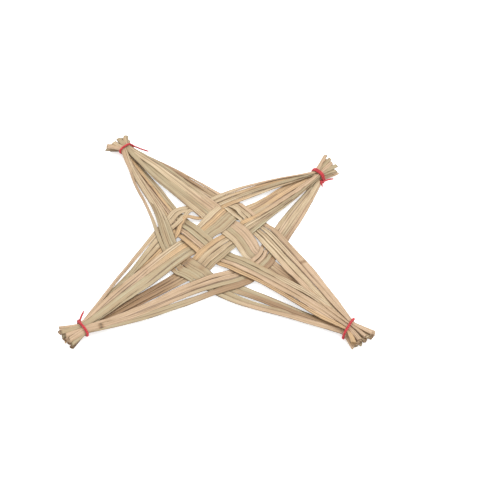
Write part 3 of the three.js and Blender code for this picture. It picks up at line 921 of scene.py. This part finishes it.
def thread_tube(points, is_row, step=THREAD_STEP, closed=False, radius=THREAD, fray=0.0):
    """Two-lobed section r (0.82 + 0.2 cos 2(t - twist)) carried along the points, where
    twist is 2 pi for every TWIST mm. Its frame keeps to the plane of the chain, and a
    frayed end gets thinner over FRAY_LENGTH."""
    centre, places = resample(points, step)
    total = places[-1]
    if closed:
        centre, places = centre[:-1], places[:-1]
        along = np.roll(centre, -1, 0) - np.roll(centre, 1, 0)
        turns = max(round(total / TWIST), 1) / total
    else:
        along = np.gradient(centre, axis=0)
        turns = 1.0 / TWIST
    along = unit(along)
    flat = np.linalg.svd(centre - centre.mean(0))[2][2]
    beside = unit(np.cross(along, flat))
    upward = np.cross(along, beside)
    t = np.arange(THREAD_AROUND) * 2 * np.pi / THREAD_AROUND
    twist = 2 * np.pi * places[:, None] * turns
    end = smooth_step((places - total + FRAY_LENGTH) / FRAY_LENGTH)[:, None]
    reach = radius * (1.0 - fray * end) * (LOBES[0] + LOBES[1] * np.cos(2 * (t[None] - twist)))
    rings = (centre[:, None] + beside[:, None] * (reach * np.cos(t))[..., None]
             + upward[:, None] * (reach * np.sin(t))[..., None])
    around = np.concatenate([t, [2 * np.pi]]) / np.pi
    ahead = (np.append(places, total) if closed else places)[:, None]
    uv = np.stack(np.broadcast_arrays(around[None] - 2 * ahead * turns, ahead), -1)
    return tube_mesh(to_part(rings, is_row), uv, closed=closed)


def snug_loop(points, radius, count=LOOP_ANGLES):
    """Closed outline at a radius outside the hull of (n, 2) points. With the support
    h(a) = max(p . n(a)) + radius, averaged over 20 degrees, it is h n + h' n'."""
    angle = np.arange(count) * 2 * np.pi / count
    normal = np.stack([np.cos(angle), np.sin(angle)], -1)
    support = (points @ normal.T).max(0) + radius
    near = np.arange(-4, 5)
    support = support[(np.arange(count)[:, None] + near) % count].mean(1)
    slope = (np.roll(support, -1) - np.roll(support, 1)) / (4 * np.pi / count)
    outline = support[:, None] * normal + slope[:, None] * normal[:, [1, 0]] * [-1, 1]
    return np.vstack([outline, outline[:1]])


print("angles round a loop:", LOOP_ANGLES)

# %% Make the ties
LOOP_OUT, LOOP_STEP, LOOP_WAVE = 0.8, 1.9, 0.15
KNOT_SIZE, THIN, FRAYED = 0.55, 0.8, 0.35


def tie_parts(tie, is_row):
    """Loop or loops, a knot of three small turns and the tails of one tie."""
    turn = math.radians(tie["turn"])
    cos, sin = math.cos(turn), math.sin(turn)
    axes = np.array([[cos, sin, 0], [-sin, cos, 0], [0, 0, 1]])
    middle = np.array([tie["out"], tie["side"], WAIST_HEIGHT])
    local = (np.concatenate(straw_points[is_row]) - middle) @ axes.T
    parts = []
    for loop in range(tie["loops"]):
        shift = (loop - (tie["loops"] - 1) / 2) * LOOP_STEP * THREAD
        under = np.abs(local[:, 0] - shift) < WAIST_HALF
        outline = snug_loop(local[under][:, 1:], LOOP_OUT * THREAD)
        wave = LOOP_WAVE * np.sin(np.linspace(0, 4 * np.pi, len(outline)) + 2 * loop)
        chain = np.column_stack([shift + wave - wave[0], outline])
        parts.append(thread_tube(middle + chain @ axes, is_row, closed=True))
    knot = middle + np.array(tie["knot"]) @ axes
    t = np.linspace(0, 2 * np.pi, 60)
    turns = np.stack([np.sin(t) + 1.1 * np.sin(2 * t), np.cos(t) - 1.1 * np.cos(2 * t),
                      -1.3 * np.sin(3 * t)], -1)
    parts.append(thread_tube(knot + KNOT_SIZE * turns, is_row, step=KNOT_STEP, closed=True,
                             radius=THIN * THREAD))
    for tail in tie["tails"]:
        chain = np.vstack([knot, knot + turned(np.array(tail), is_row)])
        parts.append(thread_tube(chain, is_row, radius=THIN * THREAD, fray=FRAYED))
    return parts


tie_pieces = []
for name, tie in TIES.items():
    piece = make_piece(f"thread_{name}", tie_parts(tie, name.startswith("x")), thread_look)
    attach(piece, "root")
    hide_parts(f"tie_{name}")
    tie_pieces.append(piece)
print("ties:", len(tie_pieces), "faces:", sum(len(p.data.polygons) for p in tie_pieces))

# %% [markdown]
# ## Floor and light
#
# The cross lies on a plain white table in an evenly lit tent. A large soft light stands
# high on the +Y side and gives the stems their slight shading, and two weaker ones
# fill the shadows from -X and +X. Seen directly, the table adds a little light of its
# own, so that the gaps of the weave look as bright as the ground around it, while the
# straws keep their shade.

# %% Floor, lights and colour
WHITE, TABLE = (1, 1, 1, 1), (0.86, 0.86, 0.86, 1)
FLOOR_HALF, TABLE_GLOW, TENT_LIGHT = 12.0, 0.55, 0.85
# Each light: place, size and power.
LIGHTS = {"key": ((0.1, 0.5, 1), 0.9, 9), "fill_left": ((-0.9, -0.5, 0.7), 0.8, 3.6),
          "fill_right": ((0.9, -0.6, 0.7), 0.8, 3.6)}


def floor_material():
    """Matt white, with a glow of TABLE_GLOW that only the camera sees."""
    material = bpy.data.materials.new("white_table")
    material.use_nodes = True
    tree = material.node_tree
    shader = tree.nodes["Principled BSDF"]
    for label, value in {"Base Color": TABLE, "Roughness": 0.9, "Emission Color": WHITE}.items():
        shader.inputs[label].default_value = value
    rays = add(tree, "ShaderNodeLightPath")
    glow = arithmetic(tree, "MULTIPLY", rays.outputs["Is Camera Ray"], TABLE_GLOW)
    tree.links.new(glow, shader.inputs["Emission Strength"])
    return material


floor_mesh = bpy.data.meshes.new("floor")
corners = [(x * FLOOR_HALF, y * FLOOR_HALF, 0) for x, y in ((-1, -1), (1, -1), (1, 1), (-1, 1))]
floor_mesh.from_pydata(corners, [], [(0, 1, 2, 3)])
floor_mesh.materials.append(floor_material())
floor = new_object("floor", floor_mesh)


def soft_light(name, place, size, power):
    """Square area light that faces the middle of the cross."""
    light = bpy.data.lights.new(name, "AREA")
    light.size, light.energy = size, power
    lamp = new_object(name, light)
    lamp.location = place
    lamp.rotation_euler = (-Vector(place)).to_track_quat("-Z", "Y").to_euler()


for name, light in LIGHTS.items():
    soft_light(name, *light)
world = bpy.data.worlds.new("tent")
world.use_nodes = True
background = world.node_tree.nodes["Background"].inputs
background["Color"].default_value, background["Strength"].default_value = WHITE, TENT_LIGHT
bpy.context.scene.world = world
bpy.context.scene.view_settings.view_transform = "Standard"
print("lights:", len(bpy.data.lights))
